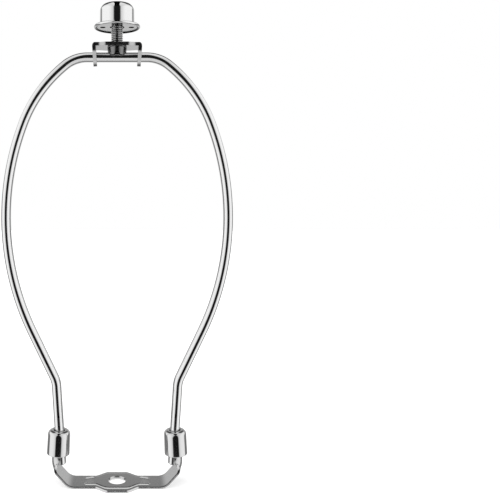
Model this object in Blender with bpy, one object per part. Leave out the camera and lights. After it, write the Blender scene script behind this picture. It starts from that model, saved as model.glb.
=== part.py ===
"""Nine-inch lamp harp: a wire bow, its saddle with two locking sleeves, and a swivel top with a finial.

The harp stands in the XZ plane. The origin is the centre of the saddle's hole, on the seat that rests on
the lamp's socket cap. X runs along the saddle, and Z runs up.
"""

import math

import bmesh
import bpy
from mathutils import Matrix, Vector

MM = 0.001

# Whole harp
HARP_HEIGHT = 228.6 * MM
CLEARANCE = 0.3 * MM

# Bow of round wire, from the middle of its top down one side. The wire's foot hangs below the prong's foot
WIRE_DIAMETER = 5.0 * MM
WIRE_TOP_RUN = 15.5 * MM
SHOULDER_RADIUS = 18.2 * MM
SHOULDER_TURN = 39.0
UPPER_SIDE_RADIUS = 71.2 * MM
UPPER_SIDE_TURN = 30.0
LOWER_SIDE_RADIUS = 137.5 * MM
LOWER_SIDE_TURN = 46.6
LOWER_RUN = 26.4 * MM
KINK_RADIUS = 12.5 * MM
KINK_HEIGHT = 50.92 * MM
LEG_LEAN = 3.6
WIRE_FOOT = 1.7 * MM
WIRE_END_CHAMFER = 0.4 * MM

# Saddle, one strip of sheet. Its prong's foot is where the sheet first stands upright
SADDLE_SHEET = 1.2 * MM
SADDLE_EDGE_BREAK = 0.15 * MM
ARM_WIDTH = 12.7 * MM
BOSS_WIDTH = 21.2 * MM
BOSS_FLAT = 10.0 * MM
BOSS_LENGTH = 22.4 * MM
SADDLE_HOLE = 9.4 * MM
PANEL_LENGTH = 34.2 * MM
PANEL_MARGIN = 2.3 * MM
PANEL_STEP_WIDTH = 0.9 * MM
PANEL_RISE = 0.6 * MM
SADDLE_FLAT_LENGTH = 42.0 * MM
ARM_BEND_RADIUS = 7.2 * MM
ARM_RISE_ANGLE = 46.0
PRONG_BEND_RADIUS = 4.6 * MM
PRONG_PLAY = 0.55 * MM
PRONG_WRAP = 184.0
PRONG_ROLL_DROP = 4.7 * MM
PRONG_ROLL_RISE = 2.8 * MM

# Locking sleeves, two drawn cups with a hole in the end. Their foot stands above the prong's foot
SLEEVE_FOOT = 3.8 * MM
SLEEVE_LENGTH = 12.5 * MM
SLEEVE_DIAMETER = 12.0 * MM
SLEEVE_TOP_DIAMETER = 11.7 * MM
SLEEVE_WALL = 1.1 * MM
SLEEVE_SHOULDER_RADIUS = 2.1 * MM
SLEEVE_RIM_RADIUS = 0.45 * MM
SLEEVE_HOLE_PLAY = 0.5 * MM
SLEEVE_HOLE_CHAMFER = 0.35 * MM
SLEEVE_TILT = 2.8

# Swivel strap over the top of the bow
STRAP_SHEET = 1.8 * MM
STRAP_LENGTH = 25.6 * MM
STRAP_WIDTH = 13.2 * MM
STRAP_RISE = 6.7 * MM
STRAP_BEND_RADIUS = 1.6 * MM
EAR_LEAN = 3.5
EAR_END_RADIUS = 4.6 * MM
EAR_SHOULDER_DROP = 3.4 * MM
EAR_HOLE_PLAY = 0.35 * MM
STRAP_EDGE_BREAK = 0.2 * MM

# Stud that the finial screws on
STUD_DIAMETER = 6.2 * MM
STUD_ENGAGEMENT = 6.0 * MM
STUD_END_CHAMFER = 0.5 * MM
STUD_HEAD_TOP_DIAMETER = 10.2 * MM
STUD_HEAD_FOOT_DIAMETER = 9.0 * MM
STUD_HEAD_FOOT_ABOVE_WIRE = 0.8 * MM
STUD_SLOT_FOOT_WIDTH = 3.0 * MM
STUD_SLOT_TOP_WIDTH = 2.0 * MM
STUD_SLOT_HEIGHT = 1.6 * MM

# Finial, a cap crimped round a base plate, with a threaded bush inside
FINIAL_RAISE = 8.2 * MM
BASE_SHEET = 0.6 * MM
BASE_HOLE_DIAMETER = 2.8 * MM
BASE_HOLE_SPACING = 14.8 * MM
CAP_SHEET = 0.5 * MM
CAP_HEIGHT = 14.2 * MM
CAP_FOOT_DIAMETER = 17.8 * MM
CAP_TOP_DIAMETER = 17.5 * MM
CAP_DOME_RADIUS = 4.6 * MM
CAP_DOME_RISE = 0.9 * MM
CAP_CROWN_BULGE = 0.15 * MM
BRIM_DIAMETER = 23.9 * MM
BRIM_EDGE_RADIUS = 0.65 * MM
BUSH_DIAMETER = 8.6 * MM
BUSH_FLANGE_DIAMETER = 11.6 * MM
BUSH_FLANGE_THICKNESS = 1.2 * MM
BUSH_LENGTH = 5.6 * MM

# How finely round forms are divided, in sides, degrees and lengths
ROUND_STEPS = 36
WIRE_SIDES = 16
EAR_END_STEPS = 14
BOW_STEP_ANGLE = 3.4
SADDLE_STEP_ANGLE = 4.0
STRAP_STEP_ANGLE = 12.0
FILLET_STEP_ANGLE = 18.0
SADDLE_ROW_LENGTH = 1.4 * MM
SADDLE_MIDDLE_COLUMNS = 3
SMOOTH_ANGLE = 35.0
SHARP_ANGLE = 50.0
MERGE_DISTANCE = 0.005 * MM


def clear_scene():
    for obj in list(bpy.data.objects):
        bpy.data.objects.remove(obj, do_unlink=True)


def metal(name, colour, roughness):
    """A plated or bare steel finish."""
    material = bpy.data.materials.new(name)
    material.use_nodes = True
    shader = material.node_tree.nodes["Principled BSDF"]
    shader.inputs["Base Color"].default_value = (*colour, 1.0)
    shader.inputs["Metallic"].default_value = 1.0
    shader.inputs["Roughness"].default_value = roughness
    material.diffuse_color = (*colour, 1.0)
    material.metallic = 1.0
    material.roughness = roughness
    return material


def add_object(name, data, material):
    obj = bpy.data.objects.new(name, data)
    bpy.context.scene.collection.objects.link(obj)
    if material:
        data.materials.append(material)
    return obj


def mesh_object(name, bm, material=None):
    """Turns a bmesh into an object that is shaded smooth up to its sharp edges."""
    mesh = bpy.data.meshes.new(name)
    bm.to_mesh(mesh)
    bm.free()
    mesh.shade_smooth()
    mesh.set_sharp_from_angle(angle=math.radians(SMOOTH_ANGLE))
    return add_object(name, mesh, material)


def as_cutter(obj):
    obj.hide_render = True
    obj.display_type = "WIRE"
    return obj


def boolean(obj, other, operation="DIFFERENCE"):
    modifier = obj.modifiers.new(operation.title() + " " + other.name, "BOOLEAN")
    modifier.operation = operation
    modifier.object = other
    modifier.solver = "EXACT"


def break_edges(obj, width):
    """Takes the sharpness off the edges, as tumbling does to a stamped piece before it is plated."""
    edges = obj.modifiers.new("Tumbled edges", "BEVEL")
    edges.width = width
    edges.segments = 1
    edges.limit_method = "ANGLE"
    edges.angle_limit = math.radians(SHARP_ANGLE)


def even_shading(obj):
    """Lets the large faces set the shading, so that a sheet's narrow rim doesn't darken its broad sides."""
    obj.modifiers.new("Even shading", "WEIGHTED_NORMAL").keep_sharp = True


def smooth_step(value):
    value = min(max(value, 0.0), 1.0)
    return value * value * (3.0 - 2.0 * value)


def walk(x, z, heading, moves, arc_step):
    """Follows straight runs and arcs in the XZ plane. A move is (run,) or (radius, degrees turned upwards).

    Each station is (x, z, heading, distance), with the heading in radians from +X.
    """
    stations = [(x, z, heading, 0.0)]
    distance = 0.0
    for move in moves:
        if len(move) == 1:
            distance += move[0]
            x += move[0] * math.cos(heading)
            z += move[0] * math.sin(heading)
            stations.append((x, z, heading, distance))
            continue
        radius, degrees = move
        side = math.copysign(1.0, degrees)
        turn = math.radians(degrees)
        centre_x = x - side * radius * math.sin(heading)
        centre_z = z + side * radius * math.cos(heading)
        steps = max(2, round(abs(degrees) / arc_step))
        for step in range(1, steps + 1):
            angle = heading + turn * step / steps
            x = centre_x + side * radius * math.sin(angle)
            z = centre_z - side * radius * math.cos(angle)
            stations.append((x, z, angle, distance + radius * abs(turn) * step / steps))
        heading += turn
        distance += radius * abs(turn)
    return stations


def station_at(stations, distance):
    """The point and heading at a distance along a walk."""
    for before, after in zip(stations, stations[1:]):
        if distance <= after[3]:
            break
    share = (distance - before[3]) / (after[3] - before[3])
    return tuple(a + (b - a) * share for a, b in zip(before, after))


def bow_moves(fit):
    """Runs and arcs from the middle of the bow's top to its kink, its long side at a share of its size."""
    kink_turn = SHOULDER_TURN + UPPER_SIDE_TURN + LOWER_SIDE_TURN - 90.0 - LEG_LEAN
    return [
        (WIRE_TOP_RUN,),
        (SHOULDER_RADIUS, -SHOULDER_TURN),
        (UPPER_SIDE_RADIUS * fit, -UPPER_SIDE_TURN),
        (LOWER_SIDE_RADIUS * fit, -LOWER_SIDE_TURN),
        (LOWER_RUN * fit,),
        (KINK_RADIUS, kink_turn),
    ]


def bow_to_kink():
    """Stations down one side of the bow, with the side fitted between the harp's height and the kink's."""
    top = HARP_HEIGHT - STRAP_RISE
    without_side = walk(0.0, top, 0.0, bow_moves(0.0), BOW_STEP_ANGLE)[-1][1]
    with_side = walk(0.0, top, 0.0, bow_moves(1.0), BOW_STEP_ANGLE)[-1][1]
    fit = (without_side - KINK_HEIGHT) / (without_side - with_side)
    return walk(0.0, top, 0.0, bow_moves(fit), BOW_STEP_ANGLE)


def leg_x(height):
    """Distance of the wire's leg from the middle of the harp, at a height below the kink."""
    kink_x, kink_z, heading, distance = bow_to_kink()[-1]
    return kink_x - (kink_z - height) * math.tan(math.radians(LEG_LEAN))


def sleeve_height():
    return SLEEVE_LENGTH * math.cos(math.radians(SLEEVE_TILT))


def prong_length():
    """From the prong's foot to its end, just under the closed end of the sleeve."""
    return SLEEVE_FOOT + sleeve_height() - SLEEVE_WALL - CLEARANCE


def prong_roll_radius():
    """Radius of the rolled prong, to the middle of its sheet."""
    return WIRE_DIAMETER / 2 + PRONG_PLAY + SADDLE_SHEET / 2


def arm_reach(prong_end):
    """How far the sloped arm reaches sideways between its two bends, for a prong that ends at a height."""
    rise = math.radians(ARM_RISE_ANGLE)
    prong_x = leg_x(prong_end) - (PRONG_PLAY - CLEARANCE) + prong_roll_radius()
    bends = ARM_BEND_RADIUS * math.sin(rise) + PRONG_BEND_RADIUS * (1.0 - math.sin(rise))
    return prong_x - SADDLE_FLAT_LENGTH / 2 - bends


def prong_foot():
    """Height at which the arm, sloping up towards the leaning leg, stands upright beside it."""
    rise = math.radians(ARM_RISE_ANGLE)
    bends = ARM_BEND_RADIUS * (1.0 - math.cos(rise)) + PRONG_BEND_RADIUS * math.cos(rise)
    climb = SADDLE_SHEET / 2 - PANEL_RISE + bends + arm_reach(prong_length()) * math.tan(rise)
    return climb / (1.0 - math.tan(math.radians(LEG_LEAN)) * math.tan(rise))


def sleeve_top():
    return prong_foot() + SLEEVE_FOOT + sleeve_height()


def make_bow(material):
    """The bow, one length of wire bent in a plane."""
    stations = bow_to_kink()
    x, z, heading, distance = stations[-1]
    leg = (z - prong_foot() + WIRE_FOOT) / math.cos(math.radians(LEG_LEAN))
    side = [(x, z) for x, z, heading, distance in stations]
    for run in (leg - WIRE_END_CHAMFER, leg):
        side.append((x + run * math.cos(heading), z + run * math.sin(heading)))
    points = [(-x, z) for x, z in reversed(side)] + side[1:]
    curve = bpy.data.curves.new("harp_wire", "CURVE")
    curve.dimensions = "3D"
    curve.twist_mode = "MINIMUM"
    curve.bevel_depth = WIRE_DIAMETER / 2
    curve.bevel_resolution = (WIRE_SIDES - 4) // 2
    curve.use_fill_caps = True
    spline = curve.splines.new("POLY")
    spline.points.add(len(points) - 1)
    for point, (x, z) in zip(spline.points, points):
        point.co = (x, 0.0, z, 1.0)
    for end in (0, -1):
        spline.points[end].radius = 1.0 - 2 * WIRE_END_CHAMFER / WIRE_DIAMETER
    spline.use_smooth = True
    return add_object("harp_wire", curve, material)


def saddle_half_width(distance, roll):
    """Half the width of the flat strip: wide at the boss, narrower along the arm and at the rolled prong."""
    share = (distance - BOSS_FLAT / 2) / (BOSS_LENGTH / 2 - BOSS_FLAT / 2)
    share = min(max(share, 0.0), 1.0)
    fall = (share + smooth_step(share)) / 2
    arm = ARM_WIDTH / 2 + (BOSS_WIDTH - ARM_WIDTH) / 2 * (1.0 - fall)
    prong = math.radians(PRONG_WRAP / 2) * prong_roll_radius()
    return arm + (prong - arm) * roll


def saddle_route():
    """Stations along the middle of the saddle's sheet, from the hole to the tip of one prong."""
    foot = prong_foot()
    arm_run = arm_reach(foot + prong_length()) / math.cos(math.radians(ARM_RISE_ANGLE))
    moves = [
        (SADDLE_FLAT_LENGTH / 2,),
        (ARM_BEND_RADIUS, ARM_RISE_ANGLE),
        (arm_run,),
        (PRONG_BEND_RADIUS, 90.0 - ARM_RISE_ANGLE),
        (prong_length(),),
    ]
    return walk(0.0, SADDLE_SHEET / 2 - PANEL_RISE, 0.0, moves, SADDLE_STEP_ANGLE)


def saddle_rows(stations):
    """Distances along the saddle at which the strip gets a row of points."""
    panel_end = PANEL_LENGTH / 2
    marks = [panel_end - PANEL_STEP_WIDTH / 2, panel_end, panel_end + PANEL_STEP_WIDTH / 2]
    marks = sorted(marks + [distance for x, z, heading, distance in stations])
    rows = []
    for start, end in zip(marks, marks[1:]):
        parts = math.ceil((end - start) / SADDLE_ROW_LENGTH)
        rows += [start + (end - start) * part / parts for part in range(parts)]
    return rows + marks[-1:]


def saddle_columns():
    """Columns across the strip, each as (side, inset from the edge, share of what is left, on the panel)."""
    foot = PANEL_MARGIN - PANEL_STEP_WIDTH / 2
    brow = PANEL_MARGIN + PANEL_STEP_WIDTH / 2
    half = [(0.0, 1.0, False), (foot / 2, 1.0, False), (foot, 1.0, False)]
    half += [(brow, 1.0 - step / SADDLE_MIDDLE_COLUMNS, True) for step in range(SADDLE_MIDDLE_COLUMNS)]
    left = [(-1, *column) for column in half]
    right = [(1, *column) for column in reversed(half)]
    return left + [(1, brow, 0.0, True)] + right


def saddle_point(stations, distance, column):
    """A point of the sheet's middle surface, rolled round the wire where the prong is."""
    x, z, heading, _ = station_at(stations, distance)
    side, inset, share, is_panel = column
    roll_start = prong_foot() - PRONG_ROLL_DROP
    roll = smooth_step((z - roll_start) / (PRONG_ROLL_DROP + PRONG_ROLL_RISE))
    across = side * share * (saddle_half_width(distance, roll) - inset)
    end_share = (PANEL_LENGTH / 2 + PANEL_STEP_WIDTH / 2 - distance) / PANEL_STEP_WIDTH
    lift = PANEL_RISE * smooth_step(end_share) if is_panel else 0.0
    bend = roll / prong_roll_radius()
    if bend > 0.0:
        y = math.sin(bend * across) / bend
        inward = (1.0 - math.cos(bend * across)) / bend
    else:
        y, inward = across, 0.0
    inward += lift
    return Vector((x - inward * math.sin(heading), y, z + inward * math.cos(heading)))


def make_saddle(material):
    """The saddle: a strip with a raised panel round its hole, bent up and rolled into a prong at each end."""
    stations = saddle_route()
    columns = saddle_columns()
    bm = bmesh.new()
    grid = []
    for distance in saddle_rows(stations):
        grid.append([bm.verts.new(saddle_point(stations, distance, column)) for column in columns])
    for near, far in zip(grid, grid[1:]):
        for left in range(len(columns) - 1):
            bm.faces.new((near[left], far[left], far[left + 1], near[left + 1]))
    saddle = mesh_object("saddle", bm, material)
    mirror_and_thicken(saddle, SADDLE_SHEET)
    boolean(saddle, make_rod("saddle_hole_cutter", SADDLE_HOLE / 2, 6 * SADDLE_SHEET, Vector((0, 0, 0)), "Z"))
    break_edges(saddle, SADDLE_EDGE_BREAK)
    even_shading(saddle)


def mirror_and_thicken(obj, thickness):
    """Makes the other half of a bent strip, and gives the strip its sheet about its middle surface."""
    mirror = obj.modifiers.new("Other half", "MIRROR")
    mirror.merge_threshold = MERGE_DISTANCE
    sheet = obj.modifiers.new("Sheet", "SOLIDIFY")
    sheet.thickness = thickness
    sheet.offset = 0.0
    sheet.use_even_offset = True


def make_rod(name, radius, length, centre, axis):
    """A round cutter along an axis."""
    bm = bmesh.new()
    turn = Matrix.Rotation(math.radians(90), 4, "Y") if axis == "X" else Matrix.Identity(4)
    bmesh.ops.create_cone(
        bm,
        cap_ends=True,
        segments=ROUND_STEPS,
        radius1=radius,
        radius2=radius,
        depth=length,
        matrix=Matrix.Translation(centre) @ turn,
    )
    return as_cutter(mesh_object(name, bm))


def fillet(corner, start, end, radius):
    """Points that round the corner between two straight sides of a turned profile."""
    corner, start, end = Vector(corner), Vector(start), Vector(end)
    to_start = (start - corner).normalized()
    to_end = (end - corner).normalized()
    half = to_start.angle(to_end) / 2
    reach = radius / math.tan(half)
    centre = corner + (to_start + to_end).normalized() * radius / math.sin(half)
    first = corner + to_start * reach - centre
    last = corner + to_end * reach - centre
    sweep = first.angle(last)
    steps = max(2, round(math.degrees(sweep) / FILLET_STEP_ANGLE))
    points = []
    for step in range(steps + 1):
        share = step / steps
        arm = first * math.sin((1 - share) * sweep) + last * math.sin(share * sweep)
        points.append(tuple(centre + arm / math.sin(sweep)))
    return points


def turned(name, profile, material, is_ring):
    """A turned piece from (radius, height) points. A ring is a loop of them, and any other ends on the axis."""
    bm = bmesh.new()
    verts = [bm.verts.new((radius, 0.0, height)) for radius, height in profile]
    pairs = list(zip(verts, verts[1:]))
    if is_ring:
        pairs.append((verts[-1], verts[0]))
    edges = [bm.edges.new(pair) for pair in pairs]
    bmesh.ops.spin(
        bm,
        geom=verts + edges,
        axis=(0, 0, 1),
        cent=(0, 0, 0),
        angle=2 * math.pi,
        steps=ROUND_STEPS,
        use_merge=True,
    )
    bmesh.ops.remove_doubles(bm, verts=bm.verts, dist=MERGE_DISTANCE)
    bmesh.ops.recalc_face_normals(bm, faces=bm.faces)
    return mesh_object(name, bm, material)


def sleeve_profile():
    """Half section of a sleeve, from the middle of its top face down: outside, rim, inside and hole."""
    hole = WIRE_DIAMETER / 2 + SLEEVE_HOLE_PLAY
    top = SLEEVE_TOP_DIAMETER / 2
    foot = SLEEVE_DIAMETER / 2
    length = SLEEVE_LENGTH
    wall = SLEEVE_WALL
    inner_radius = SLEEVE_SHOULDER_RADIUS - wall
    profile = [(hole, -SLEEVE_HOLE_CHAMFER), (hole + SLEEVE_HOLE_CHAMFER, 0.0)]
    profile += fillet((top, 0.0), (hole, 0.0), (foot, -length), SLEEVE_SHOULDER_RADIUS)
    profile += fillet((foot, -length), (top, 0.0), (foot - wall, -length), SLEEVE_RIM_RADIUS)
    profile += [(foot - wall, -length)]
    profile += fillet((top - wall, -wall), (foot - wall, -length), (hole, -wall), inner_radius)
    profile += [(hole, -wall)]
    return profile


def make_sleeves(material):
    """The two sleeves that lock the wire's feet in the saddle's prongs, each on its leg of the wire."""
    for name, side in (("sleeve_left", -1), ("sleeve_right", 1)):
        sleeve = turned(name, sleeve_profile(), material, True)
        hole_height = sleeve_top() - SLEEVE_WALL / 2
        lean_back = SLEEVE_WALL / 2 * math.sin(math.radians(SLEEVE_TILT))
        sleeve.location = (side * (leg_x(hole_height) - lean_back), 0.0, sleeve_top())
        sleeve.rotation_euler = (0.0, -side * math.radians(SLEEVE_TILT), 0.0)


def strap_outline():
    """The strap seen along the wire: a flat top, straight shoulders, and an ear with a round end."""
    wire = HARP_HEIGHT - STRAP_RISE
    half = STRAP_WIDTH / 2
    shoulder = HARP_HEIGHT - EAR_SHOULDER_DROP
    taper = math.atan2(half - EAR_END_RADIUS, shoulder - wire)
    outline = [(-half, HARP_HEIGHT + STRAP_SHEET), (-half, shoulder)]
    for step in range(EAR_END_STEPS + 1):
        angle = math.pi + taper + (math.pi - 2 * taper) * step / EAR_END_STEPS
        outline.append((EAR_END_RADIUS * math.cos(angle), wire + EAR_END_RADIUS * math.sin(angle)))
    outline += [(half, shoulder), (half, HARP_HEIGHT + STRAP_SHEET)]
    return outline


def prism(name, outline, depth, axis):
    """A straight cutter with an outline of (across, height) points, centred on the harp and along X or Y."""
    bm = bmesh.new()
    if axis == "X":
        places = [(-depth / 2, across, height) for across, height in outline]
        along = Vector((depth, 0, 0))
    else:
        places = [(across, -depth / 2, height) for across, height in outline]
        along = Vector((0, depth, 0))
    face = bm.faces.new([bm.verts.new(place) for place in places])
    moved = bmesh.ops.extrude_face_region(bm, geom=[face])["geom"]
    bmesh.ops.translate(bm, vec=along, verts=[item for item in moved if isinstance(item, bmesh.types.BMVert)])
    bmesh.ops.recalc_face_normals(bm, faces=bm.faces)
    return as_cutter(mesh_object(name, bm))


def make_strap(material):
    """The top strap: a plate folded down into two ears that turn on the wire."""
    ear_angle = 90.0 + EAR_LEAN
    top = HARP_HEIGHT - STRAP_SHEET / 2
    fold_reach = STRAP_BEND_RADIUS + STRAP_SHEET / 2
    moves = [
        (STRAP_LENGTH / 2 - fold_reach,),
        (STRAP_BEND_RADIUS, -ear_angle),
        (STRAP_RISE + 2 * EAR_END_RADIUS,),
    ]
    bm = bmesh.new()
    rows = []
    for x, z, heading, distance in walk(0.0, top, 0.0, moves, STRAP_STEP_ANGLE):
        rows.append([bm.verts.new((x, side * STRAP_WIDTH, z)) for side in (-1, 1)])
    for near, far in zip(rows, rows[1:]):
        bm.faces.new((near[0], far[0], far[1], near[1]))
    strap = mesh_object("top_strap", bm, material)
    mirror_and_thicken(strap, STRAP_SHEET)
    wire = Vector((0, 0, HARP_HEIGHT - STRAP_RISE))
    ear_hole = WIRE_DIAMETER / 2 + EAR_HOLE_PLAY
    stud_hole = STUD_DIAMETER / 2 + CLEARANCE
    plate = Vector((0, 0, HARP_HEIGHT))
    boolean(strap, prism("strap_outline_cutter", strap_outline(), 2 * STRAP_LENGTH, "X"), "INTERSECT")
    boolean(strap, make_rod("ear_hole_cutter", ear_hole, 2 * STRAP_LENGTH, wire, "X"))
    boolean(strap, make_rod("stud_hole_cutter", stud_hole, 3 * STRAP_SHEET, plate, "Z"))
    break_edges(strap, STRAP_EDGE_BREAK)
    even_shading(strap)


def make_stud(material):
    """The stud: its head rides on the wire under the strap, and its shank stands up through the strap."""
    wire = HARP_HEIGHT - STRAP_RISE
    head_top = HARP_HEIGHT - STRAP_SHEET - CLEARANCE
    head_foot = wire + STUD_HEAD_FOOT_ABOVE_WIRE
    tip = HARP_HEIGHT + FINIAL_RAISE + STUD_ENGAGEMENT
    shank = STUD_DIAMETER / 2
    profile = [
        (0.0, tip),
        (shank - STUD_END_CHAMFER, tip),
        (shank, tip - STUD_END_CHAMFER),
        (shank, head_top),
        (STUD_HEAD_TOP_DIAMETER / 2, head_top),
        (STUD_HEAD_FOOT_DIAMETER / 2, head_foot),
        (0.0, head_foot),
    ]
    stud = turned("stud", profile, material, False)
    groove = WIRE_DIAMETER / 2 + CLEARANCE
    slot_top = head_foot + STUD_SLOT_HEIGHT
    below_slot = head_foot - STUD_SLOT_HEIGHT
    top_half = STUD_SLOT_TOP_WIDTH / 2
    below_half = STUD_SLOT_FOOT_WIDTH - top_half
    slot = [(-below_half, below_slot), (below_half, below_slot), (top_half, slot_top), (-top_half, slot_top)]
    head_width = 2 * STUD_HEAD_TOP_DIAMETER
    boolean(stud, make_rod("wire_groove_cutter", groove, head_width, Vector((0, 0, wire)), "X"))
    boolean(stud, prism("cross_slot_cutter", slot, head_width, "Y"))
    return stud


def make_finial(cap_material, base_material, bush_material):
    """The finial: a drawn cap whose brim holds a flat base plate, and the threaded bush between them."""
    under = HARP_HEIGHT + FINIAL_RAISE
    bore = STUD_DIAMETER / 2 + CLEARANCE
    flange_under = under + BASE_SHEET + CLEARANCE
    flange_top = flange_under + CAP_SHEET
    top = under + CAP_HEIGHT
    crown = top - CAP_DOME_RISE
    cap_top = CAP_TOP_DIAMETER / 2
    cap_foot = CAP_FOOT_DIAMETER / 2
    brim = BRIM_DIAMETER / 2
    skirt = brim - CAP_SHEET
    sheet = CAP_SHEET

    profile = [(0.0, top), (cap_top / 3, top - CAP_DOME_RISE / 3 + CAP_CROWN_BULGE)]
    profile += fillet((cap_top, crown), (0.0, top), (cap_foot, flange_top), CAP_DOME_RADIUS)
    profile += [(cap_foot, flange_top)]
    profile += fillet((brim, flange_top), (cap_foot, flange_top), (brim, under), BRIM_EDGE_RADIUS)
    profile += [(brim, under), (skirt, under), (skirt, flange_under), (cap_foot - sheet, flange_under)]
    inner_radius = CAP_DOME_RADIUS - sheet
    inner_side = (cap_foot - sheet, flange_under)
    profile += fillet((cap_top - sheet, crown - sheet), inner_side, (0.0, top - sheet), inner_radius)
    profile += [(0.0, top - sheet)]
    turned("finial_cap", profile, cap_material, False)

    base_radius = skirt - CLEARANCE
    base_top = under + BASE_SHEET
    plate = [(bore, base_top), (base_radius, base_top), (base_radius, under), (bore, under)]
    base = turned("finial_base", plate, base_material, True)
    for number, side in enumerate((-1, 1), 1):
        place = Vector((side * BASE_HOLE_SPACING / 2, 0.0, under))
        cutter = make_rod(f"base_hole_cutter_{number}", BASE_HOLE_DIAMETER / 2, 4 * BASE_SHEET, place, "Z")
        boolean(base, cutter)

    bush_foot = base_top + CLEARANCE
    bush_top = bush_foot + BUSH_LENGTH
    shoulder = bush_foot + BUSH_FLANGE_THICKNESS
    bush = [
        (bore, bush_top),
        (BUSH_DIAMETER / 2, bush_top),
        (BUSH_DIAMETER / 2, shoulder),
        (BUSH_FLANGE_DIAMETER / 2, shoulder),
        (BUSH_FLANGE_DIAMETER / 2, bush_foot),
        (bore, bush_foot),
    ]
    turned("finial_bush", bush, bush_material, True)


def main():
    clear_scene()
    bright = metal("Bright nickel plate", (0.80, 0.79, 0.78), 0.08)
    satin = metal("Barrel plated nickel", (0.52, 0.52, 0.52), 0.34)
    strap_steel = metal("Nickel plated strip", (0.68, 0.68, 0.67), 0.2)
    thread_steel = metal("Rolled thread steel", (0.60, 0.60, 0.59), 0.22)
    inner_steel = metal("Turned bush steel", (0.45, 0.45, 0.44), 0.4)
    make_bow(bright)
    make_saddle(satin)
    make_sleeves(bright)
    make_strap(strap_steel)
    make_stud(thread_steel)
    make_finial(bright, satin, inner_steel)


main()
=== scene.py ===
import math

import bmesh
import bpy
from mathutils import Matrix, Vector


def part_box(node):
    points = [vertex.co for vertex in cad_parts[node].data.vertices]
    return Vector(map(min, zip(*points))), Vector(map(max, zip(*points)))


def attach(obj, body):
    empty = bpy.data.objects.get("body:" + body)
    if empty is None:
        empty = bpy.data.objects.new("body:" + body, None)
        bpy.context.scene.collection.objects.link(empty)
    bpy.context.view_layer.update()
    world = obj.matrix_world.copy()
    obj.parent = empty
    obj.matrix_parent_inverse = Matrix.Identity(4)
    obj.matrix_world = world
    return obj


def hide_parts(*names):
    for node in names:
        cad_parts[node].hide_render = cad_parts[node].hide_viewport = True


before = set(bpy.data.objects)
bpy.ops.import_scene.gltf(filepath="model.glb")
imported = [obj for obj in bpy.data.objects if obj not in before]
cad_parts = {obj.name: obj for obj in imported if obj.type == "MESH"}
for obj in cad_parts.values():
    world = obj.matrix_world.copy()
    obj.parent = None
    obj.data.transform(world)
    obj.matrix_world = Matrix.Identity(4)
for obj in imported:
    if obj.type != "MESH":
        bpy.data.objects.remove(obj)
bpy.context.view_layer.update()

# The camera stands square to the bow's plane, level with its upper half and about a foot away. The harp
# lies in the left half of the picture, so the lens is shifted and not turned, and both sides stay alike.
CAMERA_DISTANCE = 0.3291
CAMERA_HEIGHT = 0.1541
CAMERA_TILT_DOWN = 1.18
LENS_MM = 45.58
SENSOR_MM = 36.0
SHIFT_ACROSS = 0.2658
SHIFT_UP = -0.09
CLIP_START = 0.01

bpy.ops.object.camera_add(
    location=(0.0, -CAMERA_DISTANCE, CAMERA_HEIGHT),
    rotation=(math.radians(90.0 - CAMERA_TILT_DOWN), 0.0, 0.0),
)
camera = bpy.context.object
camera.data.lens = LENS_MM
camera.data.sensor_width = SENSOR_MM
camera.data.shift_x = SHIFT_ACROSS
camera.data.shift_y = SHIFT_UP
camera.data.clip_start = CLIP_START
bpy.context.scene.camera = camera

# The bow is one length of 5 mm spring steel wire. It is drawn, bent in a plane round formers, polished and
# plated with bright nickel. Its two feet are cut square and drop into the saddle's prongs.
MM = 0.001
WIRE_RADIUS = 2.5 * MM
WIRE_SIDES = 64
WIRE_TOP_RUN = 15.5 * MM
WIRE_BENDS = [(18.2 * MM, -39.0), (71.2 * MM, -30.0), (137.5 * MM, -46.6)]
LOWER_RUN = 26.4 * MM
KINK = (12.5 * MM, 22.0)
LEG_LEAN = math.radians(3.6)
WIRE_END_CHAMFER = 0.4 * MM
DEGREES_PER_RING = 1.5
SAME_PLACE = 0.002 * MM
SMOOTH_UNDER = math.radians(32.0)
NOISE_LOW = 0.3
NOISE_HIGH = 0.7
NOISE_ROUGHNESS = 0.55


def start_piece(name):
    """Names the new primitive, puts its place in its mesh and opens it in edit mode."""
    obj = bpy.context.object
    obj.name = name
    obj.data.name = name
    bpy.ops.object.transform_apply(location=True, rotation=True, scale=True)
    bpy.ops.object.mode_set(mode="EDIT")
    return obj


def pick(kind, rule):
    """Selects, in edit mode, each vertex, edge or face whose corners all keep a rule."""
    bpy.ops.mesh.select_mode(type=kind)
    bpy.ops.mesh.select_all(action="DESELECT")
    edited = bmesh.from_edit_mesh(bpy.context.object.data)
    for part in {"VERT": edited.verts, "EDGE": edited.edges, "FACE": edited.faces}[kind]:
        corners = [part] if kind == "VERT" else part.verts
        if all(rule(corner.co) for corner in corners):
            part.select_set(True)
    bmesh.update_edit_mesh(bpy.context.object.data)


def near(value, target):
    return abs(value - target) < SAME_PLACE


def extrude(x, y, z):
    bpy.ops.mesh.extrude_region_move(TRANSFORM_OT_translate={"value": (x, y, z)})


def resize(x, y, z, centre=(0.0, 0.0, 0.0)):
    bpy.ops.transform.resize(value=(x, y, z), center_override=centre)


def face_outwards():
    """Merges doubles, turns every face outwards and leaves edit mode."""
    bpy.ops.mesh.select_mode(type="VERT")
    bpy.ops.mesh.select_all(action="SELECT")
    bpy.ops.mesh.remove_doubles(threshold=SAME_PLACE / 2)
    bpy.ops.mesh.normals_make_consistent(inside=False)
    bpy.ops.object.mode_set(mode="OBJECT")


def apply_modifier(kind, **settings):
    """Adds a modifier to the active object and applies it at once."""
    modifier = bpy.context.object.modifiers.new(kind.title(), kind)
    for setting, value in settings.items():
        setattr(modifier, setting, value)
    bpy.ops.object.modifier_apply(modifier=modifier.name)


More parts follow.
